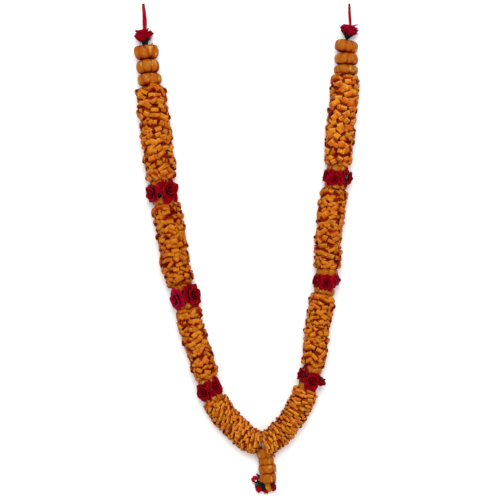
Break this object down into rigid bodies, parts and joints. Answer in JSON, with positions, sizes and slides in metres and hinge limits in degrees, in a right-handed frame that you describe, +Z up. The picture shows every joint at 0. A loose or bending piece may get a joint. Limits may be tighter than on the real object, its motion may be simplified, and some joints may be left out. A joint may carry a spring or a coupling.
{
  "type": "strip-loop garland with rose bands",
  "caption": "Long festive garland laid flat: strands of curled orange strip loops with bands of red fabric roses meet over a short tasselled pendant, with ribbon ties at the tops.",
  "frame": {"origin": "on the resting surface, under the first puff of the pendant", "axes": "+Y from the pendant towards the ties, +Z up from the surface, +X towards the right strand"},
  "size_m": [0.4072, 0.8878, 0.0535],
  "materials": {
    "strip": "thin curled shavings dyed golden orange, satin, dark red-brown in the gaps",
    "puff": "gathered shavings dyed gold-orange, satin, with pinched folds",
    "rose": "crimson cloth petals, matt",
    "leaf": "very dark green cloth leaves, matt",
    "ribbon": "red satin ribbon",
    "thread": "off-white cotton thread"
  },
  "bodies": {
    "root": {"left_top_calyx": "leaf", "left_top_rose": "rose", "left_ball_1": "puff", "left_ball_2": "puff", "left_ball_3": "puff", "left_loops_1": "strip", "left_loops_2": "strip", "left_loops_3": "strip", "left_loops_4": "strip", "left_cap_1_upper": "puff", "left_cap_1_lower": "puff", "left_leaves_1": "leaf", "left_roses_1": "rose", "left_cap_2_upper": "puff", "left_cap_2_lower": "puff", "left_leaves_2": "leaf", "left_roses_2": "rose", "left_cap_3_upper": "puff", "left_cap_3_lower": "puff", "left_leaves_3": "leaf", "left_roses_3": "rose", "right_top_calyx": "leaf", "right_top_rose": "rose", "right_ball_1": "puff", "right_ball_2": "puff", "right_ball_3": "puff", "right_loops_1": "strip", "right_loops_2": "strip", "right_loops_3": "strip", "right_loops_4": "strip", "right_cap_1_upper": "puff", "right_cap_1_lower": "puff", "right_leaves_1": "leaf", "right_roses_1": "rose", "right_cap_2_upper": "puff", "right_cap_2_lower": "puff", "right_leaves_2": "leaf", "right_roses_2": "rose", "right_cap_3_upper": "puff", "right_cap_3_lower": "puff", "right_leaves_3": "leaf", "right_roses_3": "rose", "pendant_puff_1": "puff", "pendant_puff_2": "puff", "pendant_puff_3": "puff", "pendant_puff_4": "puff", "thread": "thread", "tassel_leaves": "leaf", "tassel_bud_1": "rose", "tassel_bud_2": "rose", "tassel_bud_3": "rose", "tassel_bud_4": "rose", "tassel_strip": "strip", "left_tie": "ribbon", "right_tie": "ribbon"}
  },
  "joints": []
}
